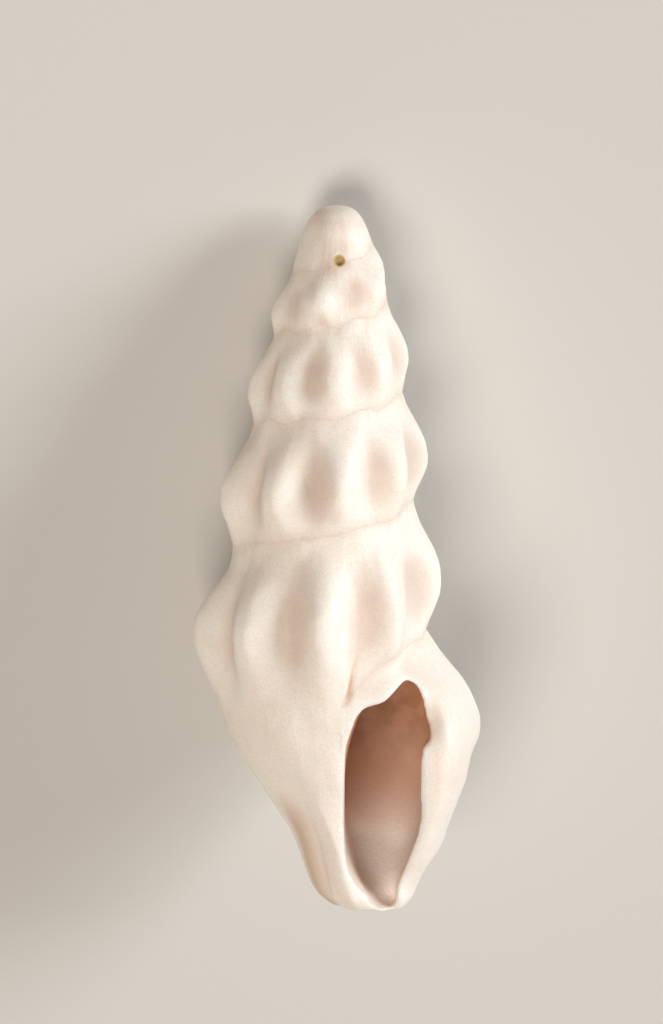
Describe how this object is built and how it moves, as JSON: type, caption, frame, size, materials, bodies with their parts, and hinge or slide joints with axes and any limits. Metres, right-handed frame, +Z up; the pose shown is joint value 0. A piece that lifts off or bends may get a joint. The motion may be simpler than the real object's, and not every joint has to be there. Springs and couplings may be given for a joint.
{
  "type": "cerodrillia shell",
  "caption": "Small slender right-handed sea snail shell with rounded lengthwise ribs and a narrow aperture, lying on its back with the aperture facing up.",
  "frame": {"origin": "Bottom centre of the shell's bounding box, as it lies on its back.", "axes": "+X to the shell's lip side, +Y along its length towards the apex, +Z up, the way the aperture faces."},
  "size_m": [0.0052, 0.0124, 0.0045],
  "materials": {
    "shell_cream": "glazed cream-white shell with a soft gloss"
  },
  "bodies": {
    "root": {"shell": "shell_cream"}
  },
  "joints": []
}
